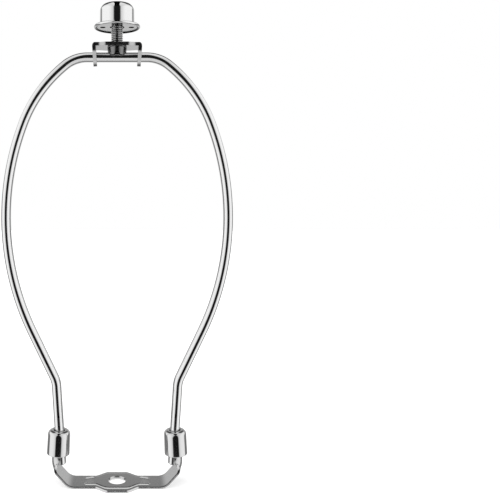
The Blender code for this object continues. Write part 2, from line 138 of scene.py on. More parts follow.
def dress(obj, material, body, slot, *nodes):
    """Shades a finished piece, gives it its finish and puts it on its body for its plain solids."""
    bpy.ops.object.select_all(action="DESELECT")
    obj.select_set(True)
    bpy.context.view_layer.objects.active = obj
    bpy.ops.object.shade_smooth_by_angle(angle=SMOOTH_UNDER)
    apply_modifier("WEIGHTED_NORMAL", mode="FACE_AREA", weight=100, keep_sharp=True)
    obj.data.materials.clear()
    obj.data.materials.append(material)
    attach(obj, body)
    if nodes:
        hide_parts(*nodes)


def srgb(code):
    """An sRGB hex value as a linear colour."""
    parts = [int(code[start : start + 2], 16) / 255 for start in (1, 3, 5)]
    linear = [part / 12.92 if part <= 0.04045 else ((part + 0.055) / 1.055) ** 2.4 for part in parts]
    return (*linear, 1.0)


def add_node(tree, kind, links=None, values=None, **settings):
    """Adds a node with its settings, its sockets' values and its links from other outputs."""
    made = tree.nodes.new(kind)
    for name, value in settings.items():
        setattr(made, name, value)
    for socket, value in (values or {}).items():
        made.inputs[socket].default_value = value
    for socket, source in (links or {}).items():
        tree.links.new(source, made.inputs[socket])
    return made


def map_range(tree, value, start, end, first=0.0, last=1.0, kind="LINEAR"):
    """Goes from first to last as a value goes from start to end."""
    made = add_node(
        tree,
        "ShaderNodeMapRange",
        {"Value": value},
        {"From Min": start, "From Max": end, "To Min": first, "To Max": last},
        interpolation_type=kind,
    )
    return made.outputs["Result"]


def plated_metal(name, colour, pattern, detail, roughness, bump):
    """A plated metal whose sheen and surface follow a fine noise, drawn out as its pattern says.

    pattern is the noise's scale along X, Y and Z in waves for each metre. roughness is its lowest
    and highest value, and bump is the depth of the marks in metres.
    """
    material = bpy.data.materials.new(name)
    material.use_nodes = True
    tree = material.node_tree
    shader = tree.nodes["Principled BSDF"]
    shader.inputs["Base Color"].default_value = srgb(colour)
    shader.inputs["Metallic"].default_value = 1.0
    place = add_node(tree, "ShaderNodeTexCoord")
    stretch = add_node(
        tree,
        "ShaderNodeMapping",
        {"Vector": place.outputs["Object"]},
        {"Scale": pattern},
    )
    marks = add_node(
        tree,
        "ShaderNodeTexNoise",
        {"Vector": stretch.outputs["Vector"]},
        {"Scale": 1.0, "Detail": detail, "Roughness": NOISE_ROUGHNESS},
    )
    sheen = map_range(tree, marks.outputs["Fac"], NOISE_LOW, NOISE_HIGH, *roughness)
    relief = add_node(
        tree,
        "ShaderNodeBump",
        {"Height": marks.outputs["Fac"]},
        {"Strength": 1.0, "Distance": bump},
    )
    tree.links.new(sheen, shader.inputs["Roughness"])
    tree.links.new(relief.outputs["Normal"], shader.inputs["Normal"])
    return material


wire_low, wire_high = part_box("harp_wire")
place = Vector((0.0, 0.0, wire_high.z - WIRE_RADIUS))
heading = 0.0
bpy.ops.object.select_all(action="DESELECT")
bpy.ops.mesh.primitive_circle_add(
    vertices=WIRE_SIDES,
    radius=WIRE_RADIUS,
    location=place,
    rotation=(0.0, math.radians(90.0), 0.0),
)
bow = start_piece("bow")
bpy.ops.mesh.select_all(action="SELECT")
# Each move is the length of a straight run, or the radius of a bend and its turn in degrees.
for move in [(WIRE_TOP_RUN,), *WIRE_BENDS, (LOWER_RUN,), KINK]:
    if len(move) == 1:
        along = Vector((math.cos(heading), 0.0, math.sin(heading))) * move[0]
        extrude(*along)
        place += along
        continue
    radius, degrees = move
    turn = math.radians(degrees)
    signed_radius = math.copysign(radius, degrees)
    centre = place + Vector((-math.sin(heading), 0.0, math.cos(heading))) * signed_radius
    bpy.ops.mesh.spin(
        steps=round(abs(degrees) / DEGREES_PER_RING),
        angle=turn,
        center=centre,
        axis=(0.0, 1.0, 0.0),
    )
    heading += turn
    place = centre + Vector((math.sin(heading), 0.0, -math.cos(heading))) * signed_radius
end_radius = WIRE_RADIUS - WIRE_END_CHAMFER
leg = (place.z - wire_low.z - end_radius * math.sin(LEG_LEAN)) / math.cos(LEG_LEAN)
along = Vector((math.cos(heading), 0.0, math.sin(heading)))
extrude(*(along * (leg - WIRE_END_CHAMFER)))
extrude(*(along * WIRE_END_CHAMFER))
place += along * leg
shrink = end_radius / WIRE_RADIUS
resize(shrink, shrink, shrink, place)
bpy.ops.mesh.edge_face_add()
face_outwards()
apply_modifier("MIRROR", merge_threshold=SAME_PLACE)

# Bright nickel is nearly a mirror. Drawing leaves faint lines along the wire, which lie at one depth of the
# bow's plane, so noise that is long in X and Z and fine in Y follows them round every bend.
bright_wire = plated_metal(
    "Bright nickel on drawn wire",
    "#dedede",
    pattern=(90.0, 1500.0, 90.0),
    detail=3.0,
    roughness=(0.07, 0.12),
    bump=0.0015 * MM,
)
dress(bow, bright_wire, "frame", "bright_nickel", "harp_wire")

# The saddle is one stamped strip of 1.2 mm steel. A press raises the panel round its hole and a short rib at
# each end of the panel's far side, bends up the two arms and rolls their ends into the prongs that hold the
# bow's feet. It is tumbled and barrel plated.
SADDLE_SHEET = 1.2 * MM
ARM_HALF = 12.7 * MM / 2
BOSS_HALF = 21.2 * MM / 2
BOSS_FLAT_HALF = 10.0 * MM / 2
BOSS_REACH = 22.4 * MM / 2
SADDLE_HOLE_RADIUS = 9.4 * MM / 2
PANEL_HALF_LENGTH = 34.2 * MM / 2
PANEL_MARGIN = 2.3 * MM
PANEL_STEP = 0.9 * MM
PANEL_RISE = 0.6 * MM
PANEL_END_RAMP = 5.5 * MM
PANEL_FRONT_RAMP = 1.1 * MM
BEAD_RISE = 0.42 * MM
BEAD_INSET = 3.1 * MM
BEAD_HALF_WIDTH = 0.45 * MM
BEAD_INNER_END = 11.6 * MM
BEAD_OUTER_END = 17.4 * MM
FLAT_HALF_LENGTH = 43.2 * MM / 2
ARM_BEND = 7.2 * MM
ARM_RISE = math.radians(48.0)
PRONG_BEND = 4.6 * MM
PRONG_ROLL_RADIUS = WIRE_RADIUS + 0.55 * MM + SADDLE_SHEET / 2
PRONG_WRAP = math.radians(184.0)
PRONG_ROLL_DROP = 4.7 * MM
PRONG_ROLL_RISE = 2.8 * MM
SADDLE_ROWS = 320
SADDLE_COLUMNS = 88
SADDLE_EDGE_ROUND = 0.38 * MM
HOLE_WALL_INSIDE = SADDLE_HOLE_RADIUS + 0.05 * MM
HOLE_WALL_OUTSIDE = SADDLE_HOLE_RADIUS + 0.2 * MM
DRILL_SIDES = 128


def ease(value):
    """From 0 to 1 with soft ends."""
    value = min(max(value, 0.0), 1.0)
    return value * value * (3.0 - 2.0 * value)


saddle_low, saddle_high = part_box("saddle")
prong_x = saddle_high.x - SADDLE_SHEET / 2
arm_reach = ARM_BEND * math.sin(ARM_RISE) + PRONG_BEND * (1.0 - math.sin(ARM_RISE))
arm_run = (prong_x - FLAT_HALF_LENGTH - arm_reach) / math.cos(ARM_RISE)
first_bend_end = FLAT_HALF_LENGTH + ARM_BEND * ARM_RISE
arm_end = first_bend_end + arm_run
second_bend_end = arm_end + PRONG_BEND * (math.pi / 2 - ARM_RISE)
sheet_z = saddle_low.z + SADDLE_SHEET / 2
arm_start_z = sheet_z + ARM_BEND * (1.0 - math.cos(ARM_RISE))
arm_end_z = arm_start_z + arm_run * math.sin(ARM_RISE)
prong_foot = arm_end_z + PRONG_BEND * math.cos(ARM_RISE)
strip_half_length = second_bend_end + saddle_high.z - prong_foot


def strip_line(distance):
    """The point and heading of the bent strip's middle line, at a distance from the hole."""
    if distance < FLAT_HALF_LENGTH:
        return distance, sheet_z, 0.0
    if distance < first_bend_end:
        turned = (distance - FLAT_HALF_LENGTH) / ARM_BEND
        x = FLAT_HALF_LENGTH + ARM_BEND * math.sin(turned)
        return x, sheet_z + ARM_BEND * (1.0 - math.cos(turned)), turned
    if distance < arm_end:
        run = distance - first_bend_end
        x = FLAT_HALF_LENGTH + ARM_BEND * math.sin(ARM_RISE) + run * math.cos(ARM_RISE)
        return x, arm_start_z + run * math.sin(ARM_RISE), ARM_RISE
    if distance < second_bend_end:
        turned = ARM_RISE + (distance - arm_end) / PRONG_BEND
        x = prong_x - PRONG_BEND * (1.0 - math.sin(turned))
        return x, arm_end_z + PRONG_BEND * (math.cos(ARM_RISE) - math.cos(turned)), turned
    return prong_x, prong_foot + distance - second_bend_end, math.pi / 2


def pressed(length_share, width_share):
    """Where a point of the flat blank goes. Both shares run from -1 to 1, from edge to edge."""
    distance = abs(length_share) * strip_half_length
    x, z, heading = strip_line(distance)
    roll = ease((z - prong_foot + PRONG_ROLL_DROP) / (PRONG_ROLL_DROP + PRONG_ROLL_RISE))
    waist = min(max((distance - BOSS_FLAT_HALF) / (BOSS_REACH - BOSS_FLAT_HALF), 0.0), 1.0)
    half = ARM_HALF + (BOSS_HALF - ARM_HALF) * (1.0 - (waist + ease(waist)) / 2)
    half += (PRONG_WRAP / 2 * PRONG_ROLL_RADIUS - half) * roll
    # Half of the blank's columns lie outside the middle of the panel's step, so that the step is cut finely.
    brow = PANEL_MARGIN + PANEL_STEP / 2
    if abs(width_share) > 0.5:
        inset = 2.0 * brow * (1.0 - abs(width_share))
    else:
        inset = half - 2.0 * abs(width_share) * (half - brow)
    across = math.copysign(half - inset, width_share)
    side_lift = ease((inset - PANEL_MARGIN) / PANEL_STEP + 0.5)
    end_ramp = PANEL_END_RAMP
    if width_share < 0.0:
        near_front = ease(2.0 - (inset - PANEL_MARGIN) / PANEL_STEP)
        end_ramp -= (PANEL_END_RAMP - PANEL_FRONT_RAMP) * near_front
    end_lift = ease((PANEL_HALF_LENGTH - distance) / end_ramp)
    inward = PANEL_RISE * min(side_lift, end_lift)
    if width_share > 0.0:
        on_bead = ease((BEAD_OUTER_END - distance) / PANEL_STEP)
        on_bead *= ease((distance - BEAD_INNER_END) / PANEL_STEP)
        inward += BEAD_RISE * on_bead * (1.0 - ease(abs(inset - BEAD_INSET) / BEAD_HALF_WIDTH))
    if roll > 0.0:
        curl = roll / PRONG_ROLL_RADIUS
        inward += (1.0 - math.cos(curl * across)) / curl
        across = math.sin(curl * across) / curl
    side = math.copysign(1.0, length_share)
    return Vector((side * (x - inward * math.sin(heading)), across, z + inward * math.cos(heading)))


bpy.ops.object.select_all(action="DESELECT")
bpy.ops.mesh.primitive_grid_add(x_subdivisions=SADDLE_ROWS, y_subdivisions=SADDLE_COLUMNS, size=2.0)
saddle = start_piece("stamped_saddle")
bpy.ops.object.mode_set(mode="OBJECT")
for vertex in saddle.data.vertices:
    vertex.co = pressed(vertex.co.x, vertex.co.y)
apply_modifier("SOLIDIFY", thickness=SADDLE_SHEET, offset=0.0, use_even_offset=True)


def combine(obj, other, operation):
    """Cuts another piece out of a piece, or joins it on. The other one is used up."""
    bpy.context.view_layer.objects.active = obj
    apply_modifier("BOOLEAN", operation=operation, object=other, solver="EXACT")
    bpy.data.objects.remove(other)


def cut_round(obj, radius, length, centre, rotation=(0.0, 0.0, 0.0)):
    """Drills a round hole through a piece."""
    bpy.ops.mesh.primitive_cylinder_add(
        vertices=DRILL_SIDES,
        radius=radius,
        depth=length,
        location=centre,
        rotation=rotation,
    )
    combine(obj, bpy.context.object, "DIFFERENCE")


def round_edges(width, segments, angle=50.0):
    """Rounds each edge of the active object that turns by more than an angle in degrees."""
    apply_modifier(
        "BEVEL",
        width=width,
        segments=segments,
        limit_method="ANGLE",
        angle_limit=math.radians(angle),
    )


cut_round(saddle, SADDLE_HOLE_RADIUS, 10 * SADDLE_SHEET, (0.0, 0.0, 0.0))
round_edges(SADDLE_EDGE_ROUND, 4)


def place_in_plan(tree):
    """Each point's place on the object with its height left out."""
    place = add_node(tree, "ShaderNodeTexCoord")
    in_plan = add_node(
        tree,
        "ShaderNodeVectorMath",
        {0: place.outputs["Object"]},
        {1: (1.0, 1.0, 0.0)},
        operation="MULTIPLY",
    )
    return in_plan.outputs["Vector"]


def distance_to(tree, place, point=(0.0, 0.0, 0.0)):
    """How far each place lies from one point."""
    made = add_node(tree, "ShaderNodeVectorMath", {0: place}, {1: point}, operation="DISTANCE")
    return made.outputs["Value"]


def tone_between(tree, share, first, last):
    """A colour that goes from first to last, both hex values, as a share goes from 0 to 1."""
    ramp = add_node(tree, "ShaderNodeValToRGB", {"Fac": share})
    for stop, code in zip(ramp.color_ramp.elements, (first, last)):
        stop.color = srgb(code)
    return ramp.outputs["Color"]


def feed(material, socket, output):
    """Links an output to a socket of the material's shader."""
    shader = material.node_tree.nodes["Principled BSDF"]
    material.node_tree.links.new(output, shader.inputs[socket])


# Dull nickel over rolled sheet is even and grey, with a fine pebble from the tumbling barrel. The wall of the
# punched hole is painted a little darker, as painted shade inside the hole. Its grain of about 0.2 mm is
# coarser than the real one, so that it shows.
dull_nickel = plated_metal(
    "Barrel plated nickel on rolled sheet",
    "#cacaca",
    pattern=(2600.0, 2600.0, 2600.0),
    detail=4.0,
    roughness=(0.17, 0.25),
    bump=0.003 * MM,
)
tree = dull_nickel.node_tree
# The hole's wall is painted a little darker, as shade inside the hole.
from_hole = distance_to(tree, place_in_plan(tree))
off_shaded_wall = map_range(tree, from_hole, HOLE_WALL_INSIDE, HOLE_WALL_OUTSIDE)
feed(dull_nickel, "Base Color", tone_between(tree, off_shaded_wall, "#c0c0c0", "#cacaca"))
dress(saddle, dull_nickel, "frame", "satin_nickel", "saddle")

# The two locking sleeves are small cups, drawn from sheet, polished and plated. Each slides on its leg of the
# wire and drops over the prong, and the hole in its closed end rides on the wire.
SLEEVE_LENGTH = 12.5 * MM
SLEEVE_RADIUS = 12.0 * MM / 2
SLEEVE_TOP_RADIUS = 11.7 * MM / 2
SLEEVE_WALL = 1.1 * MM
SLEEVE_SHOULDER = 2.1 * MM
SLEEVE_HOLE_RADIUS = WIRE_RADIUS + 0.5 * MM
SLEEVE_TILT = math.radians(2.8)
SLEEVE_SIDES = 128
SLEEVE_SHOULDER_STEPS = 10
SLEEVE_EDGE_ROUND = 0.38 * MM

# Drawing and polishing leave faint rings round the cup, which fray the edges of what it mirrors.
bright_cup = plated_metal(
    "Bright nickel on drawn cup",
    "#d2d2d2",
    pattern=(160.0, 160.0, 1800.0),
    detail=3.0,
    roughness=(0.05, 0.09),
    bump=0.001 * MM,
)


def make_sleeve(name, side):
    """A drawn cup with a hole in its closed end, on its leg of the wire."""
    bpy.ops.object.select_all(action="DESELECT")
    bpy.ops.mesh.primitive_cylinder_add(
        vertices=SLEEVE_SIDES,
        radius=SLEEVE_RADIUS,
        depth=SLEEVE_LENGTH,
        location=(0.0, 0.0, -SLEEVE_LENGTH / 2),
    )
    sleeve = start_piece(name)
    pick("FACE", lambda corner: near(corner.z, 0.0))
    taper = SLEEVE_TOP_RADIUS / SLEEVE_RADIUS
    resize(taper, taper, 1.0)
    bpy.ops.mesh.inset(thickness=SLEEVE_TOP_RADIUS - SLEEVE_HOLE_RADIUS)
    bpy.ops.mesh.delete(type="FACE")
    pick("FACE", lambda corner: near(corner.z, -SLEEVE_LENGTH))
    bpy.ops.mesh.delete(type="FACE")
    pick("EDGE", lambda corner: near(corner.z, 0.0) and near(corner.xy.length, SLEEVE_TOP_RADIUS))
    bpy.ops.mesh.bevel(offset=SLEEVE_SHOULDER, segments=SLEEVE_SHOULDER_STEPS, affect="EDGES")
    face_outwards()
    apply_modifier("SOLIDIFY", thickness=SLEEVE_WALL, offset=-1.0, use_even_offset=True)
    round_edges(SLEEVE_EDGE_ROUND, 4, 60.0)
    low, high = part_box(name)
    hole_height = high.z - SLEEVE_TOP_RADIUS * math.sin(SLEEVE_TILT)
    sleeve.rotation_euler = (0.0, -side * SLEEVE_TILT, 0.0)
    middle_x = (low.x + high.x) / 2
    lean = SLEEVE_LENGTH / 2 * math.sin(SLEEVE_TILT)
    sleeve.location = (middle_x - side * lean, 0.0, hole_height)
    bpy.ops.object.transform_apply(location=True, rotation=True, scale=True)
    dress(sleeve, bright_cup, name, "bright_nickel", name)
    sleeve.name = name + "_cup"


make_sleeve("sleeve_left", -1)
make_sleeve("sleeve_right", 1)

# The swivel strap is a plate of 1.8 mm steel, folded down at both ends into ears that turn on the wire.
# Its flat top carries the shade. It is tumbled and nickel plated like the rest.
STRAP_SHEET = 1.8 * MM
STRAP_HALF_LENGTH = 25.6 * MM / 2
STRAP_HALF_WIDTH = 13.2 * MM / 2
STRAP_BEND = 1.6 * MM
STRAP_FULL_HALF = 5.4 * MM
STRAP_NECK_RUN = 4.4 * MM
STRAP_NECKING = 0.16
STRAP_ROWS = 40
STRAP_CURVE_STEPS = 12
STRAP_EDGE_ROUND = 0.22 * MM
EAR_SHOULDER_ROUND = 1.4 * MM
EAR_SHOULDER_STEPS = 4
EAR_ZONE = 1.5 * MM
EAR_LEAN = math.radians(3.5)
EAR_END_RADIUS = 4.05 * MM
EAR_END_CUT = 0.72 * EAR_END_RADIUS
EAR_FOOT_DROP = 4.6 * MM
EAR_SHOULDER_DROP = 3.4 * MM
EAR_HOLE_RADIUS = WIRE_RADIUS + 0.35 * MM
STUD_HOLE_RADIUS = 3.4 * MM

_, strap_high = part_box("top_strap")
wire_z = wire_high.z - WIRE_RADIUS
mid_z = strap_high.z - STRAP_SHEET / 2
shoulder_z = strap_high.z - EAR_SHOULDER_DROP
foot_z = wire_z - EAR_FOOT_DROP
taper_angle = math.atan2(STRAP_HALF_WIDTH - EAR_END_RADIUS, shoulder_z - wire_z)
touch_y = EAR_END_RADIUS * math.cos(taper_angle)
touch_z = wire_z - EAR_END_RADIUS * math.sin(taper_angle)
ear_x = STRAP_HALF_LENGTH - STRAP_SHEET / 2

bpy.ops.object.select_all(action="DESELECT")
bpy.ops.mesh.primitive_grid_add(
    x_subdivisions=STRAP_ROWS,
    y_subdivisions=1,
    size=2.0,
    location=(0.0, 0.0, mid_z),
)
bpy.context.object.scale = (ear_x, STRAP_HALF_WIDTH, 1.0)
strap = start_piece("swivel_strap")
bpy.ops.object.mode_set(mode="OBJECT")
for vertex in strap.data.vertices:
    necked = min(max((abs(vertex.co.x) - STRAP_FULL_HALF) / STRAP_NECK_RUN, 0.0), 1.0)
    vertex.co.y *= 1.0 - STRAP_NECKING * (necked + ease(necked)) / 2
bpy.ops.object.mode_set(mode="EDIT")
fold_half = STRAP_HALF_WIDTH * (1.0 - STRAP_NECKING)
slope = (fold_half - touch_y) / (shoulder_z - touch_z)
shoulder_steps = [
    shoulder_z + EAR_SHOULDER_ROUND * (1.0 - step / EAR_SHOULDER_STEPS)
    for step in range(2 * EAR_SHOULDER_STEPS + 1)
]
for side in (-1, 1):
    height = mid_z
    half = fold_half
    for lower in (*shoulder_steps, foot_z):
        rounding = max(EAR_SHOULDER_ROUND - abs(lower - shoulder_z), 0.0)
        lower_half = fold_half - slope * max(shoulder_z - lower, 0.0)
        lower_half -= slope * rounding * rounding / (4 * EAR_SHOULDER_ROUND)
        pick("EDGE", lambda corner: near(corner.z, height) and corner.x * side > ear_x - EAR_ZONE)
        if height == mid_z:
            pick("EDGE", lambda corner: near(corner.x, side * ear_x))
        extrude(-side * (height - lower) * math.tan(EAR_LEAN), 0.0, lower - height)
        resize(1.0, lower_half / half, 1.0)
        height = lower
        half = lower_half
pick("VERT", lambda corner: near(corner.z, foot_z))
bpy.ops.mesh.bevel(offset=EAR_END_CUT, segments=STRAP_CURVE_STEPS, affect="VERTICES")
pick("EDGE", lambda corner: near(corner.z, mid_z) and near(abs(corner.x), ear_x))
bpy.ops.mesh.bevel(
    offset=STRAP_BEND * math.tan((math.pi / 2 + EAR_LEAN) / 2),
    segments=STRAP_CURVE_STEPS,
    affect="EDGES",
)
face_outwards()
apply_modifier("SOLIDIFY", thickness=STRAP_SHEET, offset=0.0, use_even_offset=True)
along_wire = (0.0, math.radians(90.0), 0.0)
cut_round(strap, EAR_HOLE_RADIUS, 4 * STRAP_HALF_LENGTH, (0.0, 0.0, wire_z), along_wire)
cut_round(strap, STUD_HOLE_RADIUS, 4 * STRAP_SHEET, (0.0, 0.0, mid_z))
round_edges(STRAP_EDGE_ROUND, 3)

# Nickel on cut and folded strip is a little smoother than on the saddle, with short scuffs from the tumbling
# barrel that lie along the strip.
strip_nickel = plated_metal(
    "Tumbled nickel on folded strip",
    "#cacaca",
    pattern=(500.0, 1400.0, 900.0),
    detail=3.0,
    roughness=(0.14, 0.22),
    bump=0.0015 * MM,
)
dress(strap, strip_nickel, "swivel", "strip_nickel", "top_strap")

# The stud is cold headed from steel, and its thread of 27 turns to the inch is rolled. Its head rides in the
# strap on the wire, grooved along it, with a slot across for the tool that holds it.
THREAD_PITCH = 25.4 * MM / 27
THREAD_CREST = 3.1 * MM
THREAD_ROOT = 2.58 * MM
HEAD_TOP_RADIUS = 10.2 * MM / 2
HEAD_FOOT_RADIUS = 9.0 * MM / 2
SLOT_FOOT_HALF = 3.0 * MM / 2
SLOT_TOP_HALF = 2.0 * MM / 2
SLOT_HEIGHT = 1.6 * MM
HEAD_GAP = 0.3 * MM
HEAD_EDGE_ROUND = 0.14 * MM
HEAD_ROUGHNESS = 0.22
THREAD_ROUGHNESS = 0.09
THREAD_STEPS = 64
FLANK_LOW = THREAD_ROOT + 0.12 * MM
FLANK_HIGH = THREAD_CREST - 0.06 * MM
UNDER_HEAD_TOP = 0.2 * MM
OVER_HEAD_TOP = 0.3 * MM
TIP_CUT = 0.9 * MM

stud_low, stud_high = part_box("stud")
head_top = strap_high.z - STRAP_SHEET - HEAD_GAP
head_foot = stud_low.z
bpy.ops.object.select_all(action="DESELECT")
bpy.ops.mesh.primitive_plane_add(
    size=THREAD_PITCH,
    location=(THREAD_ROOT, 0.0, head_top - THREAD_PITCH),
)
stud = start_piece("threaded_stud")
bpy.ops.mesh.delete(type="VERT")
# One pitch of the thread, as radius and height. The run starts two turns down, inside the head.
thread_form = [
    (THREAD_ROOT, 0.0),
    (THREAD_ROOT + 0.03 * MM, 0.07 * THREAD_PITCH),
    (THREAD_CREST - 0.05 * MM, 0.40 * THREAD_PITCH),
    (THREAD_CREST, 0.46 * THREAD_PITCH),
    (THREAD_CREST, 0.54 * THREAD_PITCH),
    (THREAD_CREST - 0.05 * MM, 0.60 * THREAD_PITCH),
    (THREAD_ROOT + 0.03 * MM, 0.93 * THREAD_PITCH),
    (THREAD_ROOT, THREAD_PITCH),
]
edited = bmesh.from_edit_mesh(stud.data)
thread_foot = head_top - 2 * THREAD_PITCH
corners = [edited.verts.new((radius, 0.0, thread_foot + height)) for radius, height in thread_form]
for lower, upper in zip(corners, corners[1:]):
    edited.edges.new((lower, upper))
bmesh.update_edit_mesh(stud.data)
bpy.ops.object.mode_set(mode="OBJECT")
thread_turns = math.ceil((stud_high.z - thread_foot) / THREAD_PITCH) + 1
apply_modifier(
    "SCREW",
    screw_offset=THREAD_PITCH,
    iterations=thread_turns,
    steps=THREAD_STEPS,
    render_steps=THREAD_STEPS,
    use_merge_vertices=True,
    merge_threshold=SAME_PLACE,
)
bpy.ops.object.mode_set(mode="EDIT")
for height, direction in ((head_top - 0.5 * THREAD_PITCH, -1.0), (stud_high.z - TIP_CUT, 1.0)):
    bpy.ops.mesh.select_all(action="SELECT")
    bpy.ops.mesh.bisect(
        plane_co=(0.0, 0.0, height),
        plane_no=(0.0, 0.0, direction),
        use_fill=True,
        clear_outer=True,
    )
face_outwards()

bpy.ops.object.select_all(action="DESELECT")
bpy.ops.mesh.primitive_cone_add(
    vertices=128,
    radius1=HEAD_FOOT_RADIUS,
    radius2=HEAD_TOP_RADIUS,
    depth=head_top - head_foot,
    location=(0.0, 0.0, (head_top + head_foot) / 2),
)
head = start_piece("stud_head")
bpy.ops.object.mode_set(mode="OBJECT")
cut_round(head, WIRE_RADIUS + HEAD_GAP, 4 * HEAD_TOP_RADIUS, (0.0, 0.0, wire_z), along_wire)
bpy.ops.mesh.primitive_cube_add(size=2.0, location=(0.0, 0.0, head_foot))
bpy.context.object.scale = (SLOT_TOP_HALF, 2 * HEAD_TOP_RADIUS, SLOT_HEIGHT)
slot_cutter = start_piece("slot_cutter")
pick("FACE", lambda corner: corner.z < head_foot)
spread = (2 * SLOT_FOOT_HALF - SLOT_TOP_HALF) / SLOT_TOP_HALF
resize(spread, 1.0, 1.0)
bpy.ops.object.mode_set(mode="OBJECT")
combine(head, slot_cutter, "DIFFERENCE")
round_edges(HEAD_EDGE_ROUND, 2, 45.0)
combine(stud, head, "UNION")


def multiply_colours(tree, first, second):
    made = add_node(tree, "ShaderNodeMix", data_type="RGBA", blend_type="MULTIPLY")
    made.inputs["Factor"].default_value = 1.0
    tree.links.new(first, made.inputs[6])
    tree.links.new(second, made.inputs[7])
    return made.outputs[2]


# The thread's roots are painted dark and its crests light: partly residue left in the roots, partly painted
# shade where little light gets down. The head is painted darker than the thread, as shade under the strap, and
# it is duller, because it was only tumbled.
rolled_thread = plated_metal(
    "Nickel on rolled thread",
    "#d4d4d4",
    pattern=(700.0, 700.0, 700.0),
    detail=2.0,
    roughness=(0.07, 0.12),
    bump=0.0005 * MM,
)
tree = rolled_thread.node_tree
place = add_node(tree, "ShaderNodeTexCoord")
split = add_node(tree, "ShaderNodeSeparateXYZ", {"Vector": place.outputs["Object"]})
# The head is painted darker than the thread, as painted shade under the strap.
above_head = map_range(tree, split.outputs["Z"], head_top - UNDER_HEAD_TOP, head_top + OVER_HEAD_TOP)
head_shade_tone = tone_between(tree, above_head, "#858585", "#f0f0f0")
from_axis = distance_to(tree, place_in_plan(tree))
# The thread is painted darker toward its roots: residue there, and painted shade where little light gets in.
up_flank = map_range(tree, from_axis, FLANK_LOW, FLANK_HIGH)
root_residue_and_shade = tone_between(tree, up_flank, "#555555", "#f0f0f0")
headed_sheen = map_range(tree, above_head, 0.0, 1.0, HEAD_ROUGHNESS, THREAD_ROUGHNESS)
feed(rolled_thread, "Base Color", multiply_colours(tree, head_shade_tone, root_residue_and_shade))
feed(rolled_thread, "Roughness", headed_sheen)
dress(stud, rolled_thread, "swivel", "thread_steel", "stud")

# The finial's cap is drawn from 0.5 mm sheet like a small bowler hat, polished and plated. Its brim is rolled
# down and in round the base plate, which a threaded bush inside holds on the stud.
CAP_SHEET = 0.5 * MM
CAP_FOOT_RADIUS = 17.8 * MM / 2
CAP_TOP_RADIUS = 17.5 * MM / 2
CAP_DOME_RADIUS = 2.5 * MM
CAP_DOME_RISE = 1.5 * MM
CAP_DROP = 1.2 * MM
BRIM_RADIUS = 23.9 * MM / 2
BRIM_DEPTH = 1.4 * MM
BRIM_LIP_RADIUS = 11.2 * MM
BRIM_ROUND = 0.64 * MM
BRIM_ROUND_STEPS = 8
BRIM_FILLET = 0.5 * MM
BRIM_FILLET_STEPS = 6
CAP_SIDES = 160
CAP_SHOULDER_STEPS = 20
CROWN_RINGS = 12
CROWN_DISC_SHARE = 0.06

cap_low, cap_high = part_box("finial_cap")
flange_top = cap_low.z + BRIM_DEPTH
crown = cap_high.z - CAP_DROP - CAP_DOME_RISE
bpy.ops.object.select_all(action="DESELECT")
bpy.ops.mesh.primitive_cylinder_add(
    vertices=CAP_SIDES,
    radius=CAP_FOOT_RADIUS,
    depth=crown - flange_top,
    location=(0.0, 0.0, (crown + flange_top) / 2),
)
cap = start_piece("finial_hat")
pick("FACE", lambda corner: near(corner.z, flange_top))
bpy.ops.mesh.delete(type="ONLY_FACE")
pick("FACE", lambda corner: near(corner.z, crown))
taper = CAP_TOP_RADIUS / CAP_FOOT_RADIUS
resize(taper, taper, 1.0)
pick("EDGE", lambda corner: near(corner.z, crown))
bpy.ops.mesh.bevel(offset=CAP_DOME_RADIUS, segments=CAP_SHOULDER_STEPS, affect="EDGES")
face_outwards()
dome_start = CAP_TOP_RADIUS - CAP_DOME_RADIUS
for vertex in cap.data.vertices:
    if vertex.co.z > crown - CAP_DOME_RADIUS:
        share = min(vertex.co.xy.length / CAP_TOP_RADIUS, 1.0)
        up_shoulder = ease((vertex.co.z - crown) / CAP_DOME_RADIUS + 1.0)
        vertex.co.z += CAP_DOME_RISE * (1.0 - share * share) * up_shoulder
bpy.ops.object.mode_set(mode="EDIT")
dome_top = CAP_DOME_RISE * (1.0 - (dome_start / CAP_TOP_RADIUS) ** 2)
pick("FACE", lambda corner: near(corner.z, crown + dome_top))
for ring in range(CROWN_RINGS):
    outer = dome_start * (1.0 - ring / CROWN_RINGS)
    inner = dome_start * max(1.0 - (ring + 1) / CROWN_RINGS, CROWN_DISC_SHARE)
    lift = CAP_DOME_RISE * ((outer / CAP_TOP_RADIUS) ** 2 - (inner / CAP_TOP_RADIUS) ** 2)
    bpy.ops.mesh.inset(thickness=outer - inner)
    bpy.ops.transform.translate(value=(0.0, 0.0, lift))
pick("EDGE", lambda corner: near(corner.z, flange_top) and near(corner.xy.length, CAP_FOOT_RADIUS))
bpy.ops.mesh.extrude_region_move()
flare = BRIM_RADIUS / CAP_FOOT_RADIUS
resize(flare, flare, 1.0)
extrude(0.0, 0.0, cap_low.z - flange_top)
bpy.ops.mesh.extrude_region_move()
lip = BRIM_LIP_RADIUS / BRIM_RADIUS
resize(lip, lip, 1.0)
for height in (cap_low.z, flange_top):
    pick("EDGE", lambda corner: near(corner.z, height) and near(corner.xy.length, BRIM_RADIUS))
    bpy.ops.mesh.bevel(offset=BRIM_ROUND, segments=BRIM_ROUND_STEPS, affect="EDGES")
pick("EDGE", lambda corner: near(corner.z, flange_top) and near(corner.xy.length, CAP_FOOT_RADIUS))
bpy.ops.mesh.bevel(offset=BRIM_FILLET, segments=BRIM_FILLET_STEPS, affect="EDGES")
face_outwards()
apply_modifier("SOLIDIFY", thickness=CAP_SHEET, offset=-1.0, use_even_offset=True)

# Drawing and polishing leave rings round the cap too, a little finer than on the sleeves.
bright_hat = plated_metal(
    "Bright nickel on spun cap",
    "#dedede",
    pattern=(160.0, 160.0, 2000.0),
    detail=3.0,
    roughness=(0.05, 0.1),
    bump=0.001 * MM,
)
dress(cap, bright_hat, "finial", "bright_nickel", "finial_cap")

